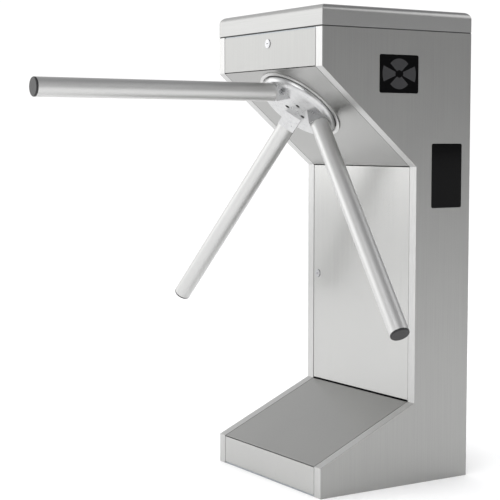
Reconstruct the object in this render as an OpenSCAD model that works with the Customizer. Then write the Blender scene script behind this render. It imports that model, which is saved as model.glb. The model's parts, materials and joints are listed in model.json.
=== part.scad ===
// Vertical tripod turnstile: C-shaped stainless cabinet, sloped hub, three arms.
// Origin: centre of the footprint on the floor. -Y faces the passage, +X is the entry side, +Z is up.

/* [Cabinet] */
// Width across the two side panels
cab_w = 390; // [340:5:480]
// Depth from the front of the head to the rear panel
cab_d = 380; // [365:5:460]
// Height with the lid on
cab_h = 980; // [900:5:1180]
// Thickness of the stainless sheet
sheet = 1.5; // [1.2:0.1:1.8]
// Width of the return flanges along the front of the side panels
flange_w = 22; // [16:1:28]
// Height of the upright front of the head, from the slope to the lid seam
head_front_h = 77; // [72:1:100]
// Depth of the recess between the head front and the door
recess_d = 237; // [225:1:260]
// Angle of the head's sloped underside from level
slope_deg = 40; // [38:1:42]
// Height of the upright front of the foot
foot_front_h = 62; // [40:1:90]
// Height at which the sloped top of the foot meets the door
foot_top_h = 170; // [140:1:180]
// Gap between neighbouring panels
panel_gap = 1.2; // [1:0.1:1.5]
// Width of the joggled edges that hold a panel behind the flanges
joggle_w = 18; // [14:1:22]

/* [Lid] */
// Height of the lid
lid_h = 44; // [40:1:60]
// Radius of the lid's top edges
lid_r = 14; // [8:1:18]
// Height of the dark seam under the lid
lid_seam = 2.5; // [2:0.1:4]
// Width of the rubber seal in the seam
seal_w = 10; // [8:1:14]
// Width of the frame that carries the seal
top_frame_w = 24; // [20:1:30]

/* [Hub and arms] */
// Outer diameter of an arm tube
arm_od = 38; // [32:1:42]
// Wall of an arm tube
arm_wall = 1.5; // [1.2:0.1:2.5]
// Length from the point where the arm axes cross to the end of an arm
arm_reach = 622; // [560:1:640]
// Distance from that crossing point to where a tube starts
arm_start = 90; // [86:1:96]
// Depth of the crossing point behind the sloped panel
apex_in = 30; // [28:1:34]
// Gap between the door and the arm that points down
arm_door_gap = 10; // [8:1:20]
// Radius of the hub disc
hub_r = 89; // [86:1:92]
// Height of the hub's flat face above the sloped panel
hub_face = 17; // [15:1:18]
// Gap under the hub disc
hub_lift = 2; // [1.5:0.1:3]
// Width of the bezel ring round the hub
bezel_w = 7; // [5:1:9]
// Height of the bezel ring
bezel_h = 3; // [2:0.5:4]
// Radius of the circle of hub screws
hub_screw_pcd_r = 22; // [20:1:24]
// Thickness of the flange of an arm end cap
cap_t = 4; // [3:1:6]

/* [Mechanism] */
// Radius of the main shaft
shaft_r = 12.5; // [12:0.5:13]
// Outer radius of a main bearing
bearing_r = 26; // [25:0.5:28]
// Width of a main bearing
bearing_w = 15; // [14:1:16]
// Gap between a bearing ball and its rings
ball_gap = 0.05; // [0.03:0.01:0.1]
// Thickness of the mechanism plate
mech_t = 8; // [6:1:10]
// Length of the bearing housing behind the plate
housing_l = 65; // [60:1:68]
// Radius of the index disc
index_r = 70; // [66:1:72]
// Width of a notch in the index disc
notch_w = 16; // [15:0.5:18]
// Depth of a notch in the index disc
notch_deep = 11; // [10:0.5:12]
// Distance of a released pawl from the index disc
pawl_gap = 2.5; // [2:0.1:3]
// Module of the damper gears
gear_m = 2; // [2:1:2]
// Teeth of the gear on the shaft
gear_z = 48; // [48:1:48]
// Teeth of the damper pinion
pinion_z = 16; // [16:1:16]
// Radial clearance of small pins and plungers
run_gap = 0.05; // [0.03:0.01:0.1]

/* [Windows] */
// Width of the indicator window
ind_w = 99; // [80:1:110]
// Height of the indicator window
ind_h = 77; // [60:1:80]
// Height of the indicator's centre below the lid seam
ind_drop = 88; // [84:1:110]
// Width of the reader window
reader_w = 80; // [60:1:84]
// Height of the reader window
reader_h = 133; // [100:1:150]
// Height of the reader's centre below the lid seam
reader_drop = 295; // [280:1:330]
// Distance from the rear panel to the reader's centre
reader_in = 63; // [60:1:70]
// Corner radius of both windows
win_r = 4; // [2:0.5:6]
// How far a window stands proud of its panel
win_proud = 0.4; // [0.2:0.1:1]

/* [Mounting] */
// Thickness of the base plate
base_t = 4; // [3:0.5:8]
// Distance between floor bolts across the width
bolt_x = 300; // [240:5:310]
// Distance between floor bolts along the depth
bolt_y = 280; // [240:5:300]
// Diameter of a floor bolt hole
bolt_hole = 14; // [10:1:18]
// Diameter of the cable entry in the base
cable_hole = 60; // [40:1:80]

/* [Locks] */
// Radius of a lock barrel
lock_r = 9; // [8:0.5:10]
// Height of the door lock above the floor
door_lock_h = 413; // [350:1:480]
// Distance of the door lock from the edge of the cabinet
door_lock_in = 38; // [36:1:44]
// Distance of the lid lock below the seam
lid_lock_drop = 23; // [21:1:28]

/* [Hidden] */
$fn = 64;
eps = 0.01;

// Main planes and heights
half_w = cab_w / 2;
front_y = -cab_d / 2;
rear_y = cab_d / 2;
col_y = front_y + recess_d;
seam_z = cab_h - lid_h;
head_z = seam_z - head_front_h;
col_top = head_z - recess_d * tan(slope_deg);
in_x = half_w - sheet;
pane_x = half_w - flange_w - panel_gap;

// Front line of the cabinet in the Y-Z plane, from the lid seam down to the floor
front_line = [
    [front_y, seam_z], [front_y, head_z], [col_y, col_top],
    [col_y, foot_top_h], [front_y, foot_front_h], [front_y, 0]
];
HEAD = 0;
SLOPE = 1;
DOOR = 2;
FOOT_SLOPE = 3;
FOOT_FRONT = 4;

// Hub axis: the arm that points down passes the door with arm_door_gap to spare
arm_r = arm_od / 2;
cone = 90 - slope_deg;
lean = 2 * cone - 90;
door_face = col_y + 0.5;
apex_y = col_y - arm_door_gap - arm_reach * sin(lean) - arm_r * cos(lean);
apex_z = head_z - (apex_y - front_y - apex_in * sin(slope_deg)) * tan(slope_deg)
    + apex_in * cos(slope_deg);
hub_y = apex_y - apex_in * sin(slope_deg);
hub_z = apex_z - apex_in * cos(slope_deg);
arm_bolt_at = arm_start - 11;
spigot_floor = 2;
spigot_r = arm_r * 0.63;
spigot_from = (apex_in + hub_lift + spigot_floor + spigot_r * sin(cone)) / cos(cone);
block_top_y = arm_start * sin(cone) - arm_r * cos(cone);
block_top_z = arm_start * cos(cone) - apex_in + arm_r * sin(cone);
block_low_y = arm_start * sin(cone) + arm_r * cos(cone);
block_low_z = arm_start * cos(cone) - apex_in - arm_r * sin(cone);

// Levels of the mechanism along the hub axis, negative is inside the cabinet
plate_z = -sheet - mech_t;
housing_z = plate_z - 10;
housing_end = plate_z - housing_l;
index_z = housing_end - 15;
index_t = 10;
gear_top = index_z - index_t - 6;
gear_t = 10;
encoder_z = gear_top - gear_t - 12;
bridge_z = encoder_z - 10;
shaft_end = bridge_z - 4;
shaft_flange_r = 30;
shaft_hole_r = shaft_flange_r + 4;
gear_r = gear_m * gear_z / 2;
pinion_y = -gear_m * (gear_z + pinion_z) / 2 - 0.1;
post_r = 5;
upper_posts = [index_r + 10, 25];
lower_posts = [index_r - 15, -index_r];
pawl_x = index_r + 22;
pawl_pivot_y = -45;
pawl_tail = 35;
pawl_tooth_w = 9;
plunger_r = 6;
solenoid_x = pawl_x + 28;
solenoid_l = 45;
solenoid_w = 30;

// Window places in the side panels
ind_at = [0, seam_z - ind_drop];
reader_at = [rear_y - reader_in, seam_z - reader_drop];
win_back = 2;
win_lip = 4;

// Hinges and locks
pin_r = 2.5;
knuckle_r = 5;
lid_axis_y = rear_y + knuckle_r + 0.5;
lid_axis_z = seam_z + lid_seam / 2;
lid_hinge_x = half_w * 0.6;
hinge_half = 30;
mid_knuckle = 11.7;
leaf_t = 2;
leaf_h = 22;
door_axis_x = pane_x - 14;
door_axis_y = col_y + 11;
door_low = foot_top_h + 3;
door_high = col_top - panel_gap;
door_return = 12;
door_hinge_low = door_low + 60;
door_hinge_high = door_high - 60;
door_lock_x = -half_w + door_lock_in;
lock_cam_y = door_face + sheet + door_return + 1.5;
keeper_t = 3;
strike_x = 40;
strike_w = 18;

// Unit direction and inward normal of one stretch of the front line
function heading(i) = (front_line[i + 1] - front_line[i]) / norm(front_line[i + 1] - front_line[i]);
function inward(i) = [-heading(i)[1], heading(i)[0]];

// The front line moved inwards by d, with mitred corners
function corner(i, d) =
    i == 0 ? front_line[0] + d * inward(0)
    : i == len(front_line) - 1 ? front_line[i] + d * inward(i - 1)
    : front_line[i] + d * (inward(i - 1) + inward(i)) / (1 + inward(i - 1) * inward(i));
function moved_line(d) = [for (i = [0:len(front_line) - 1]) corner(i, d)];
function reversed(list) = [for (i = [len(list) - 1:-1:0]) list[i]];

// Involute gear outline
function involute(a) = tan(a) - a * PI / 180;
function gear_side(m, z, thin, count) = let (
    pitch = m * z / 2,
    base = pitch * cos(20),
    low = max(base, pitch - 1.15 * m),
    high = pitch + 0.9 * m,
    half = 90 / z - thin
) [for (i = [0:count]) let (
    r = low + (high - low) * i / count,
    a = acos(min(1, base / r)),
    turn = half + (involute(20) - involute(a)) * 180 / PI
) [r, turn]];
function gear_points(m, z, thin) = let (side = gear_side(m, z, thin, 4)) [
    for (k = [0:z - 1]) each concat(
        [[m * z / 2 - 1.25 * m, 360 / z * k - side[0][1]]],
        [for (p = side) [p[0], 360 / z * k - p[1]]],
        [for (p = reversed(side)) [p[0], 360 / z * k + p[1]]],
        [[m * z / 2 - 1.25 * m, 360 / z * k + side[0][1]]]
    )
];

// Stands a Y-Z outline up and extrudes it along X between x0 and x1
module along_x(x0, x1) {
    translate([x0, 0, 0]) rotate([90, 0, 90]) linear_extrude(x1 - x0) children();
}

// Flat strip on stretch i of the front line, from depth d0 to d1, short of its ends by a and b
module strip(i, d0, d1, x0, x1, a, b) {
    p = front_line[i] + heading(i) * a;
    q = front_line[i + 1] - heading(i) * b;
    along_x(x0, x1) polygon([p + d0 * inward(i), q + d0 * inward(i), q + d1 * inward(i), p + d1 * inward(i)]);
}

// Inset panel with joggled edges that bear on the back of the flanges
module inset_panel(i, a, b) {
    strip(i, 0, sheet, -pane_x, pane_x, a, b);
    for (s = [-1, 1]) {
        x0 = s > 0 ? pane_x - 6 : -pane_x - joggle_w + 6;
        strip(i, sheet, 2 * sheet, x0, x0 + joggle_w, a + 4, b + 4);
    }
}

module box(low, high) {
    translate(low) cube(high - low);
}

module rod(r, z0, z1) {
    translate([0, 0, z0]) cylinder(r = r, h = z1 - z0);
}

module tube(r_out, r_in, z0, z1) {
    difference() {
        rod(r_out, z0, z1);
        rod(r_in, z0 - eps, z1 + eps);
    }
}

module rod_y(r, y0, y1) {
    translate([0, y0, 0]) rotate([-90, 0, 0]) cylinder(r = r, h = y1 - y0);
}

module rod_x(r, x0, x1) {
    translate([x0, 0, 0]) rotate([0, 90, 0]) cylinder(r = r, h = x1 - x0);
}

// Rectangle with round corners, exact arcs
module round_rect(w, h, r) {
    square([w - 2 * r, h], center = true);
    square([w, h - 2 * r], center = true);
    for (x = [-1, 1], y = [-1, 1]) translate([x * (w / 2 - r), y * (h / 2 - r)]) circle(r);
}

// Puts children on the hub axis: Z out of the sloped panel, Y up the slope
module hub_frame() {
    translate([0, hub_y, hub_z]) rotate([180 - slope_deg, 0, 0]) children();
}

// Puts children on the axis of arm k, Z along the arm from the crossing point
module arm_frame(k) {
    hub_frame() translate([0, 0, -apex_in]) rotate([0, 0, -120 * k]) rotate([-cone, 0, 0]) children();
}

// ---- Cabinet ----

module window_cuts() {
    along_x(half_w - 20, half_w + 20) {
        translate(ind_at) round_rect(ind_w + 0.2, ind_h + 0.2, win_r);
        translate(reader_at) round_rect(reader_w + 0.2, reader_h + 0.2, win_r);
    }
}

module side_panel() {
    difference() {
        along_x(half_w - sheet, half_w) polygon(concat(front_line, [[rear_y, 0], [rear_y, seam_z]]));
        window_cuts();
    }
    along_x(half_w - flange_w, half_w) polygon(concat(front_line, reversed(moved_line(sheet))));
}

module side_panel_entry() {
    color("silver") side_panel();
}

module side_panel_exit() {
    color("silver") mirror([1, 0, 0]) side_panel();
}

module rear_panel() {
    color("silver") box([-in_x, rear_y - sheet, 0], [in_x, rear_y, seam_z]);
}

module head_front_panel() {
    color("gainsboro") difference() {
        inset_panel(HEAD, sheet + 0.5, panel_gap);
        translate([0, front_y - 1, seam_z - lid_lock_drop]) rod_y(lock_r, 0, 10);
    }
}

module hub_mount_panel() {
    color("silver") difference() {
        inset_panel(SLOPE, panel_gap, panel_gap);
        hub_frame() rod(shaft_hole_r, -10, 10);
    }
}

module foot_slope_panel() {
    color("gainsboro") inset_panel(FOOT_SLOPE, panel_gap, panel_gap);
}

module foot_front_panel() {
    color("gainsboro") inset_panel(FOOT_FRONT, panel_gap + 0.5, base_t);
}

module base_plate() {
    color("gray") difference() {
        box([-in_x, front_y + sheet, 0], [in_x, rear_y - sheet, base_t]);
        for (x = [-1, 1], y = [-1, 1])
            translate([x * bolt_x / 2, y * bolt_y / 2, 0]) rod(bolt_hole / 2, -1, base_t + 1);
        rod(cable_hole / 2, -1, base_t + 1);
    }
}

module top_frame() {
    color("gray") difference() {
        box([-in_x, front_y + sheet, seam_z - 2 * sheet], [in_x, rear_y - sheet, seam_z]);
        opening = in_x - top_frame_w;
        box([-opening, front_y + top_frame_w, 0], [opening, rear_y - top_frame_w, cab_h]);
        box([-strike_x - 4, front_y + seal_w, 0], [8, front_y + top_frame_w + 1, cab_h]);
    }
}

module lid_seal() {
    inset = 0.8;
    color("black") difference() {
        outer = half_w - inset;
        inner = half_w - seal_w;
        box([-outer, front_y + inset, seam_z], [outer, rear_y - inset, seam_z + lid_seam - 0.3]);
        box([-inner, front_y + seal_w, seam_z - 1], [inner, rear_y - seal_w, seam_z + lid_seam]);
    }
}

module bezel_ring() {
    color("silver") hub_frame() tube(hub_r + 2 + bezel_w, hub_r + 2, 0, bezel_h);
}

// ---- Windows ----

module both_sides() {
    children();
    mirror([1, 0, 0]) children();
}

module window(at, w, h) {
    along_x(in_x, half_w + win_proud) translate(at) round_rect(w, h, win_r);
    along_x(in_x - win_back, in_x) translate(at) round_rect(w + 2 * win_lip, h + 2 * win_lip, win_r);
}

// One fan-shaped sector: half angle a, from radius r0 to r1
module fan(r0, r1, a) {
    intersection() {
        difference() {
            circle(r1);
            circle(r0);
        }
        polygon([[0, 0], 2 * r1 * [cos(a), sin(a)], 2 * r1 * [cos(a), -sin(a)]]);
    }
}

module petals_outline() {
    for (s = [0, 180]) {
        rotate(s) fan(ind_h * 0.13, ind_w * 0.43, 22);
        rotate(s + 90) fan(ind_h * 0.1, ind_h * 0.4, 48);
    }
}

module indicator_windows() {
    color("black") both_sides() difference() {
        window(ind_at, ind_w, ind_h);
        along_x(in_x - 5, half_w + 5) translate(ind_at) petals_outline();
    }
}

module indicator_petals() {
    color("dimgray") both_sides()
        along_x(in_x - win_back, half_w + win_proud) translate(ind_at) petals_outline();
}

module indicator_boards() {
    back = in_x - win_back;
    color("darkgreen") both_sides()
        along_x(back - 1.6, back) translate(ind_at) square([ind_w - 6, ind_h - 6], center = true);
}

module reader_windows() {
    color("black") both_sides() window(reader_at, reader_w, reader_h);
}

module reader_modules() {
    back = in_x - win_back;
    color("dimgray") both_sides()
        along_x(back - 14, back) translate(reader_at) round_rect(reader_w - 12, reader_h - 16, 3);
}

// ---- Mechanism, fixed to the cabinet ----

mech_x = 150;
mech_low = -105;
mech_edge = 19.7;
mech_high = (hub_y - front_y) / cos(slope_deg) - mech_edge;
mech_bolts = [for (x = [15 - mech_x, mech_x - 15], y = [mech_low + 15, mech_high - 14]) [x, y]];
housing_bolt_r = 49;
solenoid_y = pawl_pivot_y - pawl_tail;
solenoid_low = index_z - index_t / 2 - solenoid_w / 2;

module mechanism_plate() {
    color("darkgray") hub_frame() {
        difference() {
            box([-mech_x, mech_low, plate_z], [mech_x, mech_high, -sheet - eps / 2]);
            rod(shaft_hole_r, -50, 10);
            for (p = mech_bolts) translate(p) rod(4.2, plate_z - 1, 1);
            for (k = [0:3]) rotate(45 + 90 * k) translate([housing_bolt_r, 0, 0]) rod(4, plate_z - 1, 1);
        }
        for (s = [0, 1]) mirror([s, 0, 0]) {
            top = solenoid_low + solenoid_w;
            box([solenoid_x, solenoid_y - 15, top], [solenoid_x + 3, solenoid_y + 15, plate_z]);
            box([solenoid_x, solenoid_y - 15, top], [solenoid_x + solenoid_l, solenoid_y + 15, top + 3]);
        }
    }
}

module mechanism_bolts() {
    color("silver") hub_frame() {
        for (p = mech_bolts) translate(p) {
            rod(4.2, plate_z, -sheet);
            translate([0, 0, plate_z - 5]) cylinder(r = 7.5, h = 5, $fn = 6);
        }
        for (k = [0:3]) rotate(45 + 90 * k) translate([housing_bolt_r, 0, 0]) {
            rod(4, housing_z, -sheet);
            translate([0, 0, housing_z - 5]) cylinder(r = 7.5, h = 5, $fn = 6);
        }
    }
}

module bearing_housing() {
    color("darkgray") hub_frame() difference() {
        union() {
            rod(60, housing_z, plate_z);
            rod(bearing_r + 10, housing_end, housing_z);
        }
        rod(bearing_r - 6, housing_end - 1, plate_z + 1);
        rod(bearing_r, plate_z - bearing_w, plate_z + 1);
        rod(bearing_r, housing_end - 1, housing_end + bearing_w);
        for (k = [0:3]) rotate(45 + 90 * k) translate([housing_bolt_r, 0, 0])
            rod(4, housing_z - 1, plate_z + 1);
    }
}

// The two main bearings: places children at the inner end of each
module bearing_places() {
    hub_frame() for (z = [plate_z - bearing_w, housing_end]) translate([0, 0, z]) children();
}

race = (bearing_r - shaft_r) * 0.26;
ball_r = (bearing_r - shaft_r - 2 * race) / 2 - ball_gap;

module bearing_outer_rings() {
    color("lightgray") bearing_places() tube(bearing_r, bearing_r - race, 0, bearing_w);
}

module bearing_inner_rings() {
    color("lightgray") bearing_places() tube(shaft_r + race, shaft_r, 0, bearing_w);
}

module bearing_balls() {
    color("silver") bearing_places() for (k = [0:8])
        rotate(40 * k) translate([(bearing_r + shaft_r) / 2, 0, bearing_w / 2]) sphere(ball_r);
}

module frame_posts() {
    color("silver") hub_frame() for (s = [-1, 1]) {
        for (p = [upper_posts, lower_posts]) translate([s * p[0], p[1], 0]) rod(post_r, bridge_z, plate_z);
        translate([s * pawl_x, pawl_pivot_y, 0]) {
            rod(post_r, index_z + 1, plate_z);
            rod(4, index_z - index_t - 3, index_z + 1);
            rod(6, index_z - index_t - 3, index_z - index_t - 1);
        }
    }
}

module bridge_plate() {
    color("darkgray") hub_frame() difference() {
        box([-index_r - 20, -index_r - 14, bridge_z - 4], [index_r + 20, 38, bridge_z]);
        rod(20, bridge_z - 5, bridge_z + 1);
        translate([0, pinion_y, 0]) rod(4.6, bridge_z - 5, bridge_z + 1);
    }
}

module solenoid_bodies() {
    color("goldenrod") hub_frame() for (s = [0, 1]) mirror([s, 0, 0]) difference() {
        translate([solenoid_x, solenoid_y, solenoid_low])
            box([0, -15, 0], [solenoid_l, 15, solenoid_w]);
        translate([solenoid_x, solenoid_y, index_z - index_t / 2])
            rod_x(plunger_r + run_gap, -1, 40);
    }
}

module damper_body() {
    color("dimgray") hub_frame() translate([0, pinion_y, 0]) difference() {
        rod(22, bridge_z - 28, bridge_z - 4);
        rod(4 + run_gap, bridge_z - 20, bridge_z);
    }
}

encoder_r = 40;

module position_sensor() {
    color("black") hub_frame() difference() {
        box([-60, -8, bridge_z], [-encoder_r + 8, 8, encoder_z + 7]);
        box([-encoder_r - 3, -9, encoder_z - 3], [0, 9, encoder_z + 4]);
    }
}

// ---- Electrical gear in the column ----

gear_low = door_low + 90;
gear_l = 356;
gear_high = gear_low + gear_l;
gear_y = rear_y - sheet - 14;

module equipment_plate() {
    color("lightgray") {
        box([-140, gear_y - 2, gear_low], [140, gear_y, gear_high]);
        for (x = [-120, 120], z = [gear_low + 15, gear_high - 15])
            translate([x, 0, z]) rod_y(5, gear_y, rear_y - sheet);
    }
}

module control_board() {
    low = gear_low + 190;
    face = gear_y - 2;
    color("darkgreen") {
        box([-110, face - 9.6, low], [60, face - 8, low + 120]);
        for (x = [-102, 52], z = [low + 8, low + 112]) translate([x, 0, z]) rod_y(3, face - 8, face);
        for (k = [0:3]) box([-100 + 36 * k, face - 21, low + 4], [-74 + 36 * k, face - 9.6, low + 16]);
        for (k = [0:2]) translate([-80 + 30 * k, 0, low + 92]) rod_y(8, face - 30, face - 9.6);
        box([-40, face - 13, low + 42], [-12, face - 9.6, low + 70]);
        for (k = [0:1]) box([10 + 24 * k, face - 25, low + 40], [28 + 24 * k, face - 9.6, low + 70]);
    }
}

module power_supply() {
    color("lightgray") box([-120, gear_y - 44, gear_low + 20], [10, gear_y - 2, gear_low + 120]);
}

module terminal_block() {
    color("seagreen") for (k = [0:5])
        box([30 + 13 * k, gear_y - 30, gear_low + 40], [42.5 + 13 * k, gear_y - 2, gear_low + 90]);
}

// ---- Hinges and locks ----

// Half of a lid hinge: dir is 1 for the lid's leaf and -1 for the cabinet's leaf
module hinge_leaf(dir) {
    face = rear_y - lid_axis_y;
    outer_knuckles = [[-hinge_half, -mid_knuckle - 0.3], [mid_knuckle + 0.3, hinge_half]];
    own = dir > 0 ? [[-mid_knuckle, mid_knuckle]] : outer_knuckles;
    z0 = dir > 0 ? knuckle_r + 1 : -knuckle_r - 1 - leaf_h;
    translate([0, lid_axis_y, lid_axis_z]) difference() {
        union() {
            box([-hinge_half, face, z0], [hinge_half, face + leaf_t, z0 + leaf_h]);
            for (k = own) {
                rod_x(knuckle_r, k[0], k[1]);
                low = dir > 0 ? 1.5 : -knuckle_r - 2;
                box([k[0], face, low], [k[1], face + leaf_t, low + knuckle_r + 0.5]);
            }
        }
        rod_x(dir > 0 ? pin_r + run_gap : pin_r, -hinge_half - 1, hinge_half + 1);
    }
}

module lid_hinge_frame_leaves() {
    color("silver") for (s = [-1, 1]) translate([s * lid_hinge_x, 0, 0]) hinge_leaf(-1);
}

module lid_hinge_leaves() {
    color("silver") for (s = [-1, 1]) translate([s * lid_hinge_x, 0, 0]) hinge_leaf(1);
}

module hinge_pins() {
    color("gray") {
        for (s = [-1, 1]) translate([s * lid_hinge_x, lid_axis_y, lid_axis_z]) rod_x(pin_r, -hinge_half, hinge_half);
        for (z = [door_hinge_low, door_hinge_high]) translate([door_axis_x, door_axis_y, z]) rod(pin_r, -18, 12);
    }
}

// Two hinge brackets and the keeper that the lock's cam turns behind
module door_brackets() {
    back = lock_cam_y - 0.5;
    color("gray") {
        for (z = [door_hinge_low, door_hinge_high]) translate([0, 0, z - 18]) difference() {
            union() {
                box([door_axis_x - 7, door_axis_y - 6, 0], [door_axis_x + 5, door_axis_y + 7, 5]);
                box([door_axis_x - 7, door_axis_y + 0.5, 0], [in_x, door_axis_y + 7, 5]);
            }
            translate([door_axis_x, door_axis_y, 0]) rod(pin_r, -1, 6);
        }
        box([-in_x, back - keeper_t, door_lock_h - 15], [-pane_x - 3, back, door_lock_h + 15]);
        box([-in_x, back - 10, door_lock_h - 15], [-in_x + keeper_t, back, door_lock_h + 15]);
    }
}

module lid_lock_body() {
    color("silver") translate([0, front_y, seam_z - lid_lock_drop]) difference() {
        union() {
            rod_y(lock_r, -1.5, 16);
            rod_y(lock_r + 2, sheet, sheet + 3);
        }
        rod_y(lock_r * 0.62 + run_gap, -3, 17);
    }
}

// Barrel plug with its key slot and the cam at its back, pointing along -X when locked
module lock_plug(depth, cam_l) {
    difference() {
        rod_y(lock_r * 0.62, -1.5, depth + 3);
        box([-0.6, -3, -3.5], [0.6, 4, 3.5]);
    }
    difference() {
        box([-cam_l, depth + 0.5, -4], [4.5, depth + 3, 4]);
        rod_y(lock_r * 0.62, depth, depth + 4);
    }
    rod_y(lock_r * 0.62 + 0.9, depth + 3, depth + 5);
}

// Both plugs are drawn unlocked: a quarter turn brings each cam round to -X
module lid_lock_plug() {
    color("silver") translate([0, front_y, seam_z - lid_lock_drop]) rotate([0, 90, 0]) lock_plug(16, strike_x - 4);
}

// Hanger on the lid whose ledge the lid lock's cam turns over
module lid_strike() {
    back = front_y + 23;
    ledge = seam_z - lid_lock_drop - 5;
    top = cab_h - sheet;
    color("gray") {
        box([-strike_x, back - 2, ledge - 2], [-strike_x + strike_w, back, top]);
        box([-strike_x, front_y + 15, ledge - 2], [-strike_x + strike_w, back, ledge]);
        box([-strike_x, back - 9, top - 2], [-strike_x + strike_w, back, top]);
    }
}

module door_lock_body() {
    color("silver") translate([door_lock_x, door_face, door_lock_h]) difference() {
        union() {
            rod_y(lock_r, -1.5, lock_cam_y - door_face - 0.5);
            rod_y(lock_r + 2, sheet, sheet + 3);
        }
        rod_y(lock_r * 0.62 + run_gap, -3, 30);
    }
}

module door_lock_plug() {
    depth = lock_cam_y - door_face - 0.5;
    color("silver") translate([door_lock_x, door_face, door_lock_h]) rotate([0, 90, 0]) lock_plug(depth, 26);
}

// ---- Lid and door ----

// Block with round top edges on all four sides and sharp upright corners
module lid_block(hw, y0, y1, z0, z1, r) {
    intersection() {
        translate([0, y1, 0]) rotate([90, 0, 0]) linear_extrude(y1 - y0) round_top(-hw, hw, z0, z1, r);
        along_x(-hw, hw) round_top(y0, y1, z0, z1, r);
    }
}

module round_top(a, b, z0, z1, r) {
    translate([a, z0]) square([b - a, z1 - z0 - r]);
    translate([a + r, z1 - r - eps]) square([b - a - 2 * r, r + eps]);
    translate([a + r, z1 - r]) circle(r);
    translate([b - r, z1 - r]) circle(r);
}

module lid() {
    color("silver") difference() {
        lid_block(half_w, front_y, rear_y, seam_z + lid_seam, cab_h, lid_r);
        lid_block(in_x, front_y + sheet, rear_y - sheet, seam_z, cab_h - sheet, lid_r - sheet);
    }
}

module door_panel() {
    x1 = pane_x;
    y0 = door_face;
    y1 = door_face + sheet;
    color("gainsboro") {
        difference() {
            box([-x1, y0, door_low], [x1, y1, door_high]);
            translate([door_lock_x, 0, door_lock_h]) rod_y(lock_r, y0 - 1, y1 + 1);
        }
        box([-x1, y1 - eps, door_low], [-x1 + sheet, y1 + door_return, door_high]);
        box([door_axis_x - 12, y1 - eps, door_low], [door_axis_x - 12 + sheet, y1 + door_return, door_high]);
        for (z = [door_hinge_low, door_hinge_high]) translate([0, 0, z - 12.5]) difference() {
            union() {
                translate([door_axis_x, door_axis_y, 0]) rod(knuckle_r, 0, 24);
                box([door_axis_x - knuckle_r, y1 - eps, 0], [door_axis_x + knuckle_r, door_axis_y, 24]);
            }
            translate([door_axis_x, door_axis_y, 0]) rod(pin_r + run_gap, -1, 25);
        }
    }
}

// ---- Rotor: hub, shaft and arms ----

module hub_blank() {
    dome = hub_face - hub_lift - 3;
    rotate_extrude() {
        translate([0, hub_lift]) square([hub_r, 3]);
        translate([0, hub_lift]) square([hub_r - dome, hub_face - hub_lift]);
        intersection() {
            translate([hub_r - dome, hub_lift + 3]) circle(dome);
            translate([0, hub_lift]) square([hub_r, hub_face]);
        }
    }
}

// Wedge block in which one arm is bolted, its flanks as wide as the tube
module arm_block() {
    foot_y = block_top_y - (block_top_z - hub_face) * tan(90 - cone);
    low = hub_lift + 4;
    rotate([90, 0, 90]) translate([0, 0, -arm_r]) linear_extrude(arm_od) polygon([
        [foot_y - 3, low], [foot_y, hub_face], [block_top_y, block_top_z],
        [block_low_y, block_low_z], [block_low_y - 5, low]
    ]);
}

module hub() {
    color("lightgray") difference() {
        union() {
            hub_frame() {
                hub_blank();
                for (k = [0:2]) rotate(-120 * k) arm_block();
            }
        }
        hub_frame() {
            rod(shaft_r, -1, hub_lift + 6);
            for (k = [0:2]) rotate(-120 * k - 60) translate([0, hub_screw_pcd_r, 0]) {
                rod(3, -1, hub_face + 1);
                rod(5, hub_face - 5, hub_face + 1);
            }
        }
        for (k = [0:2]) arm_frame(k) {
            rod(spigot_r, spigot_from, arm_start + 10);
            rod(arm_r + 0.02, arm_start, arm_start + 60);
            translate([0, 0, arm_bolt_at]) {
                rod_x(4, -arm_r + 4, arm_r + 1);
                rod_x(6.2, arm_r - 5, arm_r + 1);
            }
        }
    }
}

module hub_screws() {
    color("dimgray") hub_frame() for (k = [0:2]) rotate(-120 * k - 60) translate([0, hub_screw_pcd_r, 0])
        difference() {
            union() {
                rod(3, hub_lift - 7, hub_face - 5);
                rod(4.6, hub_face - 5, hub_face - 1);
            }
            translate([0, 0, hub_face - 3.5]) cylinder(r = 2.4, h = 5, $fn = 6);
        }
}

module main_shaft() {
    color("silver") hub_frame() difference() {
        union() {
            rod(shaft_r, shaft_end, hub_lift + 6);
            rod(shaft_flange_r, hub_lift - 8, hub_lift);
        }
        for (k = [0:2]) rotate(-120 * k - 60) translate([0, hub_screw_pcd_r, 0]) rod(3, hub_lift - 7, hub_lift + 1);
    }
}

module index_disc() {
    color("darkgray") hub_frame() difference() {
        union() {
            rod(index_r, index_z - index_t, index_z);
            rod(shaft_r + 7, gear_top, housing_end - 1);
        }
        rod(shaft_r, gear_top - 1, housing_end);
        for (k = [0:5]) rotate(60 * k)
            box([index_r - notch_deep, -notch_w / 2, index_z - index_t - 1], [index_r + 1, notch_w / 2, index_z + 1]);
        for (k = [0:5]) rotate(60 * k + 30) translate([index_r * 0.6, 0, 0]) rod(9, index_z - index_t - 1, index_z + 1);
    }
}

module toothed(m, z, thin, z0, z1) {
    translate([0, 0, z0]) linear_extrude(z1 - z0)
        polygon([for (p = gear_points(m, z, thin)) p[0] * [cos(p[1]), sin(p[1])]]);
}

module drive_gear() {
    color("goldenrod") hub_frame() rotate(-90) difference() {
        toothed(gear_m, gear_z, 0.15, gear_top - gear_t, gear_top);
        rod(shaft_r, gear_top - gear_t - 1, gear_top + 1);
        for (k = [0:3]) rotate(45 + 90 * k) translate([gear_r * 0.6, 0, 0]) rod(8, gear_top - gear_t - 1, gear_top + 1);
    }
}

module encoder_disc() {
    color("black") hub_frame() difference() {
        union() {
            rod(encoder_r, encoder_z, encoder_z + 1.5);
            rod(shaft_r + 5, encoder_z, gear_top - gear_t);
        }
        rod(shaft_r, encoder_z - 1, gear_top);
        for (k = [0:17]) rotate(20 * k) box([encoder_r - 9, -2, encoder_z - 1], [encoder_r - 3, 2, encoder_z + 2]);
    }
}

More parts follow.
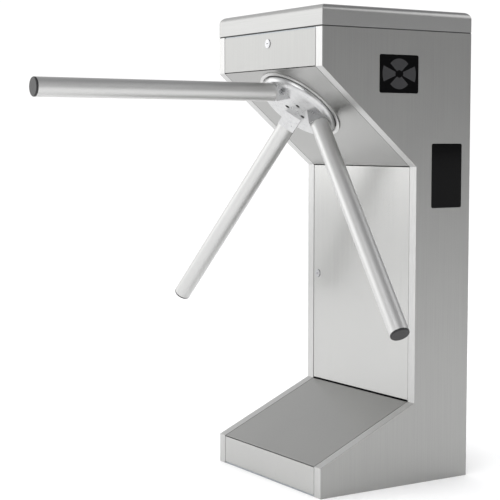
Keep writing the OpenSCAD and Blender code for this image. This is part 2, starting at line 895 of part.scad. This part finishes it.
module shaft_nut() {
    color("silver") hub_frame() difference() {
        translate([0, 0, encoder_z - 8]) cylinder(r = 19, h = 8, $fn = 6);
        rod(shaft_r, encoder_z - 9, encoder_z + 1);
    }
}

module arm_tube(k) {
    color("silver") arm_frame(k) tube(arm_r, arm_r - arm_wall, arm_start, arm_reach - cap_t);
}

module arm_tube_1() {
    arm_tube(0);
}

module arm_tube_2() {
    arm_tube(1);
}

module arm_tube_3() {
    arm_tube(2);
}

module arm_plugs() {
    color("gray") for (k = [0:2]) arm_frame(k) difference() {
        union() {
            rod(spigot_r, spigot_from, arm_start);
            rod(arm_r - arm_wall, arm_start, arm_start + 40);
        }
        translate([0, 0, arm_bolt_at]) rod_x(4, -arm_r, arm_r);
    }
}

module arm_end_caps() {
    edge = cap_t * 0.6;
    color("dimgray") for (k = [0:2]) arm_frame(k) {
        rod(arm_r - arm_wall, arm_reach - cap_t - 14, arm_reach - cap_t);
        translate([0, 0, arm_reach - cap_t]) rotate_extrude() {
            square([arm_r - edge, cap_t]);
            square([arm_r, cap_t - edge]);
            intersection() {
                translate([arm_r - edge, cap_t - edge]) circle(edge);
                square([arm_r, cap_t]);
            }
        }
    }
}

module arm_bolts() {
    color("dimgray") for (k = [0:2]) arm_frame(k) translate([0, 0, arm_bolt_at]) difference() {
        union() {
            rod_x(4, -arm_r + 4, arm_r - 5);
            rod_x(6, arm_r - 5, arm_r - 0.5);
        }
        translate([arm_r - 3.5, 0, 0]) rotate([0, 90, 0]) cylinder(r = 3, h = 5, $fn = 6);
    }
}

// ---- Damper pinion, locking pawls and their plungers ----

module damper_pinion() {
    color("goldenrod") hub_frame() translate([0, pinion_y, 0]) {
        rotate(90 + 180 / pinion_z) toothed(gear_m, pinion_z, 0.5, gear_top - gear_t, gear_top);
        rod(4, bridge_z - 18, gear_top - gear_t + eps);
    }
}

// Locking pawl beside the index disc, its tooth facing the notch at +X
module pawl() {
    z0 = index_z - index_t;
    tooth_y = 2;
    tip_x = index_r + pawl_gap;
    hub_frame() difference() {
        union() {
            box([pawl_x - 5, pawl_pivot_y, z0], [pawl_x + 5, tooth_y + pawl_tooth_w / 2, index_z]);
            box([tip_x, tooth_y - pawl_tooth_w / 2, z0], [pawl_x, tooth_y + pawl_tooth_w / 2, index_z]);
            box([pawl_x - 5, pawl_pivot_y - pawl_tail - 6, z0], [pawl_x + 5, pawl_pivot_y, index_z]);
            translate([pawl_x, pawl_pivot_y, 0]) rod(8, z0, index_z);
        }
        translate([pawl_x, pawl_pivot_y, 0]) rod(4 + run_gap, z0 - 1, index_z + 1);
        translate([pawl_x, pawl_pivot_y - pawl_tail, 0]) rod(3, z0 - 1, index_z + 1);
    }
}

module pawl_entry() {
    color("peru") pawl();
}

module pawl_exit() {
    color("peru") mirror([1, 0, 0]) pawl();
}

// Plunger with a fork and a cross pin that pulls the tail of the pawl
module plunger() {
    z0 = index_z - index_t;
    hub_frame() translate([0, pawl_pivot_y - pawl_tail, 0]) {
        for (z = [z0 - 4, index_z + 1]) box([pawl_x - 5, -5, z], [pawl_x + 13, 5, z + 3]);
        box([pawl_x + 10, -5, z0 - 4], [pawl_x + 13, 5, index_z + 4]);
        translate([pawl_x, 0, 0]) rod(2, z0 - 4, index_z + 4);
        translate([0, 0, z0 + index_t / 2]) rod_x(plunger_r, pawl_x + 13 - eps, solenoid_x + 30);
    }
}

module plunger_entry() {
    color("silver") plunger();
}

module plunger_exit() {
    color("silver") mirror([1, 0, 0]) plunger();
}

side_panel_entry();
side_panel_exit();
rear_panel();
head_front_panel();
hub_mount_panel();
foot_slope_panel();
foot_front_panel();
base_plate();
top_frame();
lid_seal();
bezel_ring();
indicator_windows();
indicator_petals();
indicator_boards();
reader_windows();
reader_modules();
mechanism_plate();
bearing_housing();
bearing_outer_rings();
bearing_balls();
frame_posts();
bridge_plate();
solenoid_bodies();
damper_body();
position_sensor();
equipment_plate();
control_board();
power_supply();
terminal_block();
lid_hinge_frame_leaves();
hinge_pins();
door_brackets();
lid_lock_body();
mechanism_bolts();
lid();
lid_hinge_leaves();
lid_strike();
lid_lock_plug();
door_panel();
door_lock_body();
door_lock_plug();
hub();
hub_screws();
main_shaft();
bearing_inner_rings();
index_disc();
drive_gear();
encoder_disc();
shaft_nut();
arm_tube_1();
arm_tube_2();
arm_tube_3();
arm_plugs();
arm_end_caps();
arm_bolts();
damper_pinion();
pawl_entry();
pawl_exit();
plunger_entry();
plunger_exit();
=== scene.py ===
import json
import math

import bmesh
import bpy
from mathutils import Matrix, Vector


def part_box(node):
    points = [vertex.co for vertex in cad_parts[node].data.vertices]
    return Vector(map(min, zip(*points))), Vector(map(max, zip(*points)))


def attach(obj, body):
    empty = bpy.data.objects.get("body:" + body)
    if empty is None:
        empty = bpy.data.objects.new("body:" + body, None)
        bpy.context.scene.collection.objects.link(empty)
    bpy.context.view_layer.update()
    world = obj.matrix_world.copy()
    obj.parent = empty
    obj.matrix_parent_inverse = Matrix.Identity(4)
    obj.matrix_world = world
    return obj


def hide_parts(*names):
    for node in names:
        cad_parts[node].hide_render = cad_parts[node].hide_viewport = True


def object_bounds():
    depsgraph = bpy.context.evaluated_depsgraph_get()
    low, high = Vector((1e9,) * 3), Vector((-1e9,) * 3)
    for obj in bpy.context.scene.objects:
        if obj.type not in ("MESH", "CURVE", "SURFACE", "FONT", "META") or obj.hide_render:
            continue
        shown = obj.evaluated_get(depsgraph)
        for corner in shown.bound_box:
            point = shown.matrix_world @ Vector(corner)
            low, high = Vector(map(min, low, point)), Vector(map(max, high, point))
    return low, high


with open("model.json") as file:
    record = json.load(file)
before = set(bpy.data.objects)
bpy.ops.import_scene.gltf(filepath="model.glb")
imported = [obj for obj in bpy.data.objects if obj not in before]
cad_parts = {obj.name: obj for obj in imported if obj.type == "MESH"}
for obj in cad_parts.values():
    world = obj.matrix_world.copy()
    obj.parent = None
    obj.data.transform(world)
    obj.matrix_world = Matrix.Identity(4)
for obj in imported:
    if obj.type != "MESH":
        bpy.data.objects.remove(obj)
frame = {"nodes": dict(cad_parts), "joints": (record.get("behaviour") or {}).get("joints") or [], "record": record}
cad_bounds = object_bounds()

MM = 0.001
HUB_SLOPE = math.radians(40)  # slope of the panel that carries the hub
RECORD = frame["record"]
SLOT_OF = {part["node"]: part["material_slot"] for part in RECORD["subparts"]}
BODY_OF = {node: body for body, group in RECORD["behaviour"]["bodies"].items() for node in group}
HUB_JOINT = next(joint for joint in frame["joints"] if joint["name"] == "rotor_spin")

# How a CAD mesh is made ready for a soft edge
MERGE_MM = 0.004  # loose triangles join where their corners are this near
FLAT_ANGLE = math.radians(0.6)  # triangles that bend less make one flat face
EDGE_ANGLE = math.radians(35)  # an edge that bends more is a real edge, and is rounded
SMOOTH_ANGLE = math.radians(32)  # shading runs on across a bend smaller than this

# A screw head on the rear panel, as shares of its radius and its height
SCREW_SIDES = 24
SCREW_DOME = 0.78
SCREW_MOUTH = 0.6
SCREW_DEPTH = 0.75

# What every finish shares
WAVE_TURN = 20  # radians that a wave texture turns in a metre at a scale of 1
RING_WEIGHT = 0.15  # how strongly turning marks show beside the grain
HANDLED_SCALE = 7.0  # patches 140 mm wide, where hands and cloths have passed
HANDLED_WEIGHT = 0.35
PATTERN_LOW, PATTERN_HIGH = 0.35, 1.0  # the range in which nearly all of the pattern lies

CAMERA_PLACE = (2.371, -1.719, 0.710)
CAMERA_TURN = math.radians(57.93)
CAMERA_TILT = math.radians(-4.536)
CAMERA_LENS_MM = 97.6
CAMERA_SENSOR_MM = 36


# ---------------------------------------------------------------- helpers

def linear(hex_colour):
    """An sRGB hex colour as linear RGBA."""
    parts = [int(hex_colour[k:k + 2], 16) / 255 for k in (1, 3, 5)]
    return [p / 12.92 if p <= 0.04045 else ((p + 0.055) / 1.055) ** 2.4 for p in parts] + [1.0]


def add(tree, kind, links=None, **settings):
    """Adds a node with its settings, and joins or sets its input sockets."""
    node = tree.nodes.new(kind)
    for key, value in settings.items():
        setattr(node, key, value)
    for socket, source in (links or {}).items():
        if isinstance(source, bpy.types.NodeSocket):
            tree.links.new(source, node.inputs[socket])
        else:
            node.inputs[socket].default_value = source
    return node


def ramp_stops(node, stops):
    """Sets a colour ramp's stops: (position, hex colour) pairs."""
    elements = node.color_ramp.elements
    while len(elements) < len(stops):
        elements.new(0.5)
    for element, (position, colour) in zip(elements, stops):
        element.position = position
        element.color = linear(colour)
    return node.outputs["Color"]


def finish(name, colours, grain_mm, rough, bump_mm=0.0, turn=(0, 0, 0), centre=(0, 0, 0), rings_mm=0.0,
           **shader):
    """A surface whose colour, roughness and relief follow one grain.

    grain_mm is the grain's size along X, Y and Z after turn, and rings_mm is the gap between turning marks
    round centre's Z axis. rough is its smoothest and roughest value. The other names are sockets of the
    shader, set as constants.
    """
    material = bpy.data.materials.new(name)
    material.use_nodes = True
    tree = material.node_tree
    tree.nodes.clear()
    place = add(tree, "ShaderNodeTexCoord").outputs["Object"]
    local = add(tree, "ShaderNodeMapping", {"Vector": place, "Location": centre, "Rotation": turn},
                vector_type="TEXTURE").outputs["Vector"]
    stretched = add(tree, "ShaderNodeMapping", {"Vector": local,
                                                "Scale": [1 / (size * MM) for size in grain_mm]})
    grain = add(tree, "ShaderNodeTexNoise", {"Vector": stretched.outputs["Vector"], "Scale": 1.0,
                                             "Detail": 3.0, "Roughness": 0.6})
    pattern = grain.outputs["Fac"]
    if rings_mm:
        rings = add(tree, "ShaderNodeTexWave", {"Vector": local, "Distortion": 1.5, "Detail": 2.0,
                                                "Scale": math.tau / (rings_mm * MM * WAVE_TURN)},
                    wave_type="RINGS", rings_direction="Z")
        pattern = add(tree, "ShaderNodeMath", {0: rings.outputs["Fac"], 1: RING_WEIGHT, 2: pattern},
                      operation="MULTIPLY_ADD").outputs[0]
    handled = add(tree, "ShaderNodeTexNoise", {"Vector": place, "Scale": HANDLED_SCALE, "Detail": 2.0})
    mixed = add(tree, "ShaderNodeMath", {0: handled.outputs["Fac"], 1: HANDLED_WEIGHT, 2: pattern},
                operation="MULTIPLY_ADD").outputs[0]
    colour = ramp_stops(add(tree, "ShaderNodeValToRGB", {"Fac": mixed}),
                        [(PATTERN_LOW, colours[0]), (PATTERN_HIGH, colours[1])])
    spread = add(tree, "ShaderNodeMapRange", {"Value": mixed, "From Min": PATTERN_LOW,
                                              "From Max": PATTERN_HIGH, "To Min": rough[0],
                                              "To Max": rough[1]})
    sockets = {"Base Color": colour, "Roughness": spread.outputs["Result"]}
    sockets.update({socket.replace("_", " "): value for socket, value in shader.items()})
    if bump_mm:
        relief = add(tree, "ShaderNodeBump", {"Height": pattern, "Distance": bump_mm * MM, "Strength": 1.0})
        sockets["Normal"] = relief.outputs["Normal"]
    surface = add(tree, "ShaderNodeBsdfPrincipled", sockets)
    add(tree, "ShaderNodeOutputMaterial", {"Surface": surface.outputs["BSDF"]})
    return material


# ---------------------------------------------------------------- finishes

# Turns Z to the hub's axis, so that rings and grain run round it
HUB_TURN = (math.pi - HUB_SLOPE, 0, 0)
HUB_CENTRE = HUB_JOINT["pos_m"]

FINISHES = {
    # Sheet with a vertical brushed grain: soft upright streaks and a satin shine.
    # The real scratches are 0.2 mm apart and are drawn 1.6 mm apart so that they show.
    "brushed_stainless": finish("brushed_stainless_sheet", ("#9b9b9a", "#a6a6a4"), (1.6, 1.6, 240),
                                (0.3, 0.35), bump_mm=0.003, Metallic=1.0),
    # Satin tube, finely ground all round: a broad soft highlight along it
    "tube_stainless": finish("satin_stainless_tube", ("#c4c4c3", "#cfcfce"), (1.4, 1.4, 1.4),
                             (0.42, 0.47), bump_mm=0.002, Metallic=1.0),
    # Turned and plated casting: faint rings round its axis and a bright rim.
    # Real turning marks are under 1 mm apart and are drawn 5.7 mm apart so that they show.
    "cast_hub": finish("turned_plated_casting", ("#b6b7b8", "#c9c9c9"), (14, 14, 14), (0.25, 0.31),
                       bump_mm=0.0006, turn=HUB_TURN, centre=HUB_CENTRE, rings_mm=5.655, Metallic=1.0),
    # Moulded end caps: fine spark-eroded texture on a dark plastic
    "cap_plastic": finish("moulded_cap_plastic", ("#101011", "#1d1d1f"), (0.8, 0.8, 0.8), (0.38, 0.5),
                          bump_mm=0.02, IOR=1.5),
    # Cast acrylic: black and very glossy, with a trace of wipe marks
    "black_acrylic": finish("black_cast_acrylic", ("#030303", "#060607"), (30, 30, 3), (0.05, 0.1),
                            IOR=1.49, Specular_IOR_Level=0.1),
    # Smoked light guide: a matt dark grey when unlit
    "smoked_diffuser": finish("smoked_light_guide", ("#232324", "#343436"), (1.2, 1.2, 1.2), (0.38, 0.5),
                              bump_mm=0.02, IOR=1.49, Specular_IOR_Level=0.3),
    # Zinc plating: bluish grey with a faint mottle of grains
    "zinc_steel": finish("zinc_plated_steel", ("#8b9094", "#b4b9bc"), (6, 6, 6), (0.3, 0.48),
                         bump_mm=0.01, Metallic=1.0),
    # Turned steel: grey, with a fine machined texture
    "machined_steel": finish("machined_steel", ("#8f9092", "#bcbdbe"), (2, 2, 0.6), (0.22, 0.36),
                             bump_mm=0.008, Metallic=1.0),
    # Ground bearing steel: a bright mirror
    "bearing_steel": finish("ground_bearing_steel", ("#c6c8ca", "#e4e5e6"), (4, 4, 4), (0.07, 0.16),
                            Metallic=1.0),
    # Black oxide: a dark brown-black skin with a dull shine
    "black_oxide": finish("black_oxide_steel", ("#141312", "#2a2826"), (1.5, 1.5, 1.5), (0.3, 0.45),
                          bump_mm=0.01, Metallic=0.6),
    # Chromed zinc casting: bright, with light scuffs
    "lock_chrome": finish("chromed_lock_barrel", ("#a6a7a9", "#c9c9cb"), (2, 2, 2), (0.14, 0.28),
                          bump_mm=0.004, Metallic=1.0),
    # Machined alloy: pale, with a milled grain
    "housing_alloy": finish("machined_alloy", ("#a9abad", "#d0d1d2"), (1.5, 1.5, 9), (0.25, 0.4),
                            bump_mm=0.008, Metallic=1.0),
    # Cut brass: yellow, a little dull in the tooth roots
    "gear_brass": finish("cut_brass", ("#a8853c", "#d9b661"), (2.5, 2.5, 2.5), (0.2, 0.36),
                         bump_mm=0.008, Metallic=1.0),
    # Glass-filled nylon: black, slightly mottled
    "coil_plastic": finish("glass_filled_nylon", ("#17181a", "#2a2b2e"), (1.5, 1.5, 1.5), (0.42, 0.6),
                           bump_mm=0.03, IOR=1.53),
    # Solder-masked laminate: green, glossy, with the weave just showing
    "board_green": finish("solder_masked_laminate", ("#0c3d22", "#1a6a3b"), (2, 2, 2), (0.2, 0.34),
                          bump_mm=0.01, IOR=1.55),
    # Folded alloy case: pale and slightly rough
    "psu_case": finish("folded_alloy_case", ("#9a9c9e", "#c3c4c6"), (5, 5, 5), (0.34, 0.5), bump_mm=0.01,
                       Metallic=1.0),
    # Extruded rubber: dark grey and matt, with a dusty bloom
    "seal_rubber": finish("extruded_rubber", ("#242424", "#3a3a39"), (3, 3, 3), (0.6, 0.8), bump_mm=0.04,
                          IOR=1.52),
}
# The lid is brushed from side to side, so its grain runs along X
LID_FINISH = finish("brushed_stainless_lid", ("#a2a2a1", "#adadac"), (240, 1.6, 1.6), (0.29, 0.34),
                    bump_mm=0.003, Metallic=1.0)
# The folded flanges are ground after folding, which leaves them paler than the sheets
FLANGE_FINISH = finish("ground_flange", ("#b6b6b5", "#c8c8c7"), (1.6, 1.6, 30), (0.3, 0.38),
                       bump_mm=0.002, Metallic=1.0)
# The door and the foot's front are a finer, brighter sheet with an upright grain
DOOR_FINISH = finish("brushed_stainless_door", ("#b3b3b2", "#bdbdbb"), (1.6, 1.6, 300), (0.24, 0.28),
                     bump_mm=0.002, Metallic=1.0)


def dress(piece, material):
    piece.data.materials.clear()
    piece.data.materials.append(material)


# ---------------------------------------------------------------- pieces

def softened(node, edge_mm, material=None, segments=2, flange=None):
    """Stands for a CAD node with the same faces, its edges rounded by edge_mm and its round faces smooth.

    flange is a second finish, for the faces that don't look sideways.
    """
    mesh = bpy.data.meshes.new(node + "_shape")
    shape = bmesh.new()
    shape.from_mesh(frame["nodes"][node].data)
    bmesh.ops.remove_doubles(shape, verts=shape.verts, dist=MERGE_MM * MM)
    bmesh.ops.dissolve_limit(shape, angle_limit=FLAT_ANGLE, verts=shape.verts, edges=shape.edges)
    sharp = [edge for edge in shape.edges
             if len(edge.link_faces) == 2 and edge.calc_face_angle(0.0) > EDGE_ANGLE]
    if edge_mm:
        bmesh.ops.bevel(shape, geom=sharp, offset=edge_mm * MM, segments=segments, profile=0.5,
                        affect="EDGES", clamp_overlap=True, harden_normals=False)
    shape.to_mesh(mesh)
    shape.free()
    mesh.shade_smooth()
    mesh.set_sharp_from_angle(angle=SMOOTH_ANGLE)
    piece = bpy.data.objects.new(node + "_finished", mesh)
    bpy.context.scene.collection.objects.link(piece)
    piece.modifiers.new("flat_faces_stay_flat", "WEIGHTED_NORMAL").keep_sharp = True
    dress(piece, material or FINISHES[SLOT_OF[node]])
    if flange:
        mesh.materials.append(flange)
        for face in mesh.polygons:
            looks_sideways = abs(face.normal.x) >= 0.5
            face.material_index = 0 if looks_sideways else 1
    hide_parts(node)
    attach(piece, BODY_OF[node])
    return piece


def screw_frame_tree():
    """Geometry nodes: socket-head screws at an even spacing round a rectangle, as one mesh."""
    tree = bpy.data.node_groups.new("screw_frame", "GeometryNodeTree")
    for name, kind in (("Width", "Float"), ("Height", "Float"), ("Count", "Int"), ("Head Radius", "Float"),
                       ("Head Height", "Float"), ("Turn", "Vector"), ("Place", "Vector"),
                       ("Finish", "Material")):
        tree.interface.new_socket(name, in_out="INPUT", socket_type="NodeSocket" + kind)
    tree.interface.new_socket("Geometry", in_out="OUTPUT", socket_type="NodeSocketGeometry")
    given = add(tree, "NodeGroupInput").outputs
    path = add(tree, "GeometryNodeCurvePrimitiveQuadrilateral",
               {"Width": given["Width"], "Height": given["Height"]})
    spots = add(tree, "GeometryNodeResampleCurve", {"Curve": path.outputs["Curve"], "Count": given["Count"]})
    disc = add(tree, "GeometryNodeMeshCircle", {"Vertices": SCREW_SIDES, "Radius": given["Head Radius"]},
               fill_type="NGON")
    side = add(tree, "GeometryNodeExtrudeMesh",
               {"Mesh": disc.outputs["Mesh"], "Offset Scale": given["Head Height"], "Individual": False})
    domed = add(tree, "GeometryNodeScaleElements",
                {"Geometry": side.outputs["Mesh"], "Selection": side.outputs["Top"], "Scale": SCREW_DOME})
    rim = add(tree, "GeometryNodeExtrudeMesh",
              {"Mesh": domed.outputs["Geometry"], "Selection": side.outputs["Top"], "Offset Scale": 0.0,
               "Individual": False})
    mouth = add(tree, "GeometryNodeScaleElements",
                {"Geometry": rim.outputs["Mesh"], "Selection": rim.outputs["Top"], "Scale": SCREW_MOUTH})
    depth = add(tree, "ShaderNodeMath", {0: given["Head Height"], 1: -SCREW_DEPTH}, operation="MULTIPLY")
    socket = add(tree, "GeometryNodeExtrudeMesh",
                 {"Mesh": mouth.outputs["Geometry"], "Selection": rim.outputs["Top"],
                  "Offset Scale": depth.outputs[0], "Individual": False})
    underside = add(tree, "GeometryNodeFlipFaces", {"Mesh": disc.outputs["Mesh"]})
    head = add(tree, "GeometryNodeJoinGeometry")
    tree.links.new(socket.outputs["Mesh"], head.inputs[0])
    tree.links.new(underside.outputs["Mesh"], head.inputs[0])
    closed = add(tree, "GeometryNodeMergeByDistance", {"Geometry": head.outputs[0], "Distance": 1e-6})
    placed = add(tree, "GeometryNodeInstanceOnPoints",
                 {"Points": spots.outputs["Curve"], "Instance": closed.outputs["Geometry"]})
    moved = add(tree, "GeometryNodeTransform",
                {"Geometry": placed.outputs["Instances"], "Rotation": given["Turn"],
                 "Translation": given["Place"]})
    real = add(tree, "GeometryNodeRealizeInstances", {"Geometry": moved.outputs["Geometry"]})
    finished = add(tree, "GeometryNodeSetMaterial",
                   {"Geometry": real.outputs["Geometry"], "Material": given["Finish"]})
    add(tree, "NodeGroupOutput", {"Geometry": finished.outputs["Geometry"]})
    return tree


def from_tree(name, tree, body, slot, **values):
    """Runs a geometry nodes tree with the named input values, and keeps the result as a plain mesh."""
    seed = bpy.data.objects.new(name + "_seed", bpy.data.meshes.new(name + "_seed"))
    bpy.context.scene.collection.objects.link(seed)
    modifier = seed.modifiers.new("shape", "NODES")
    modifier.node_group = tree
    for item in tree.interface.items_tree:
        if item.in_out == "INPUT":
            modifier[item.identifier] = values[item.name.replace(" ", "_").lower()]
    ready = seed.evaluated_get(bpy.context.evaluated_depsgraph_get())
    mesh = bpy.data.meshes.new_from_object(ready)
    seed.modifiers.clear()
    bpy.data.objects.remove(seed)
    piece = bpy.data.objects.new(name, mesh)
    bpy.context.scene.collection.objects.link(piece)
    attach(piece, body)
    return piece


def panels():
    """The cabinet's sheets, with the small radius that folding and deburring leave."""
    for node in ("side_panel_entry", "side_panel_exit"):
        softened(node, 0.35, flange=FLANGE_FINISH)
    for node in ("rear_panel", "head_front_panel", "hub_mount_panel", "foot_slope_panel"):
        softened(node, 0.35)
    for node in ("door_panel", "foot_front_panel"):
        softened(node, 0.35, DOOR_FINISH)
    softened("lid", 0.4, LID_FINISH)


def rotor():
    """Hub, bezel and arms: cast and polished pieces with larger radii."""
    softened("hub", 0.8, segments=3)
    softened("bezel_ring", 0.6)
    for k in (1, 2, 3):
        softened(f"arm_tube_{k}", 0.3)
    softened("arm_end_caps", 0)
    softened("arm_bolts", 0.3)
    softened("hub_screws", 0.3)


def windows_and_locks():
    for node in ("indicator_windows", "reader_windows", "indicator_petals"):
        softened(node, 0.2)
    for node in ("lid_lock_body", "door_lock_body", "lid_lock_plug", "door_lock_plug"):
        softened(node, 0.25)


def rear_screws():
    """Fourteen screws round the rear panel: five gaps up each long side and two across each end."""
    low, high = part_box("rear_panel")
    up_gaps = 5
    cross_gaps = 2
    spacing = (high.z - low.z) / (up_gaps + 0.5)
    sunk = 0.01 * MM
    middle = ((low.x + high.x) / 2, high.y - sunk, (low.z + high.z) / 2)
    from_tree("rear_panel_screws", screw_frame_tree(), "cabinet", "zinc_steel",
              width=spacing * cross_gaps, height=spacing * up_gaps, count=2 * (up_gaps + cross_gaps),
              head_radius=4.5 * MM, head_height=2.2 * MM, turn=(-math.pi / 2, 0, 0), place=middle,
              finish=FINISHES["zinc_steel"])


# ---------------------------------------------------------------- stage

def aimed_light(name, place, aim, size, watts):
    lamp = bpy.data.lights.new(name, "AREA")
    lamp.shape = "RECTANGLE"
    lamp.size, lamp.size_y = size
    lamp.energy = watts
    light = bpy.data.objects.new(name, lamp)
    light.location = place
    light.rotation_euler = (Vector(aim) - Vector(place)).to_track_quat("-Z", "Y").to_euler()
    bpy.context.scene.collection.objects.link(light)


def studio():
    """A grey room with a white front-left wall and a white backdrop, over a white floor lit from above."""
    world = bpy.data.worlds.new("grey_room")
    bpy.context.scene.world = world
    world.use_nodes = True
    tree = world.node_tree
    tree.nodes.clear()
    way = add(tree, "ShaderNodeTexCoord").outputs["Generated"]
    wall_way = Vector((-0.9, -0.43, 0.1)).normalized()
    to_wall = add(tree, "ShaderNodeVectorMath", {0: way, 1: wall_way}, operation="DOT_PRODUCT")
    share = add(tree, "ShaderNodeMapRange", {"Value": to_wall.outputs["Value"], "From Min": -1.0,
                                             "From Max": 1.0})
    room = ramp_stops(add(tree, "ShaderNodeValToRGB", {"Fac": share.outputs["Result"]}),
                      [(0.05, "#949495"), (0.5, "#a3a3a5"), (0.75, "#c8c8c9"), (0.93, "#ffffff")])
    backdrop_way = Vector((-math.sin(CAMERA_TURN), math.cos(CAMERA_TURN), 0))
    to_backdrop = add(tree, "ShaderNodeVectorMath", {0: way, 1: backdrop_way}, operation="DOT_PRODUCT")
    near = add(tree, "ShaderNodeMapRange", {"Value": to_backdrop.outputs["Value"], "From Min": 0.9,
                                            "From Max": 0.96},
               interpolation_type="SMOOTHSTEP")
    mixed = add(tree, "ShaderNodeMixRGB", {"Fac": near.outputs["Result"], "Color1": room,
                                           "Color2": linear("#ffffff")})
    light = add(tree, "ShaderNodeBackground", {"Color": mixed.outputs["Color"], "Strength": 1.05})
    add(tree, "ShaderNodeOutputWorld", {"Surface": light.outputs["Background"]})

    reach = 60.0
    corners = [(-reach, -reach, 0), (reach, -reach, 0), (reach, reach, 0), (-reach, reach, 0)]
    floor_mesh = bpy.data.meshes.new("floor")
    floor_mesh.from_pydata(corners, [], [(0, 1, 2, 3)])
    floor = bpy.data.objects.new("floor", floor_mesh)
    bpy.context.scene.collection.objects.link(floor)
    dress(floor, finish("matt_white_floor", ("#f7f7f7", "#fcfcfc"), (400, 400, 400), (0.85, 0.95)))

    low, high = cad_bounds
    middle = (Vector(low) + Vector(high)) / 2
    aimed_light("front_softbox", (-2.4, -2.2, 1.5), middle, (2.4, 2.0), 16)
    aimed_light("side_fill", (2.8, 0.2, 1.9), middle, (1.2, 1.6), 3)
    aimed_light("overhead_softbox", (1.7, -2.4, 2.5), middle, (2.2, 2.2), 30)
    aimed_light("rear_softbox", (1.5, 2.3, 2.5), middle, (1.8, 1.8), 14)
    sky = bpy.data.lights.new("ceiling_light", "SUN")
    sky.energy = 2.0
    sky.angle = math.radians(75)
    ceiling = bpy.data.objects.new("ceiling_light", sky)
    bpy.context.scene.collection.objects.link(ceiling)
    # The ceiling whitens the floor; bare metal mirrors the softboxes and the walls alone
    ceiling.visible_glossy = False


def camera():
    """Stands on the entry side at about the hub's height and looks slightly down."""
    lens = bpy.data.cameras.new("camera")
    lens.sensor_width = CAMERA_SENSOR_MM
    lens.lens = CAMERA_LENS_MM
    lens.clip_end = 60
    view = bpy.data.objects.new("camera", lens)
    view.location = CAMERA_PLACE
    view.rotation_euler = (math.pi / 2 + CAMERA_TILT, 0, CAMERA_TURN)
    bpy.context.scene.collection.objects.link(view)
    bpy.context.scene.camera = view


camera()
studio()
for node, piece in frame["nodes"].items():
    dress(piece, FINISHES[SLOT_OF[node]])
panels()
rotor()
windows_and_locks()
rear_screws()
bpy.context.scene.view_settings.view_transform = "Standard"
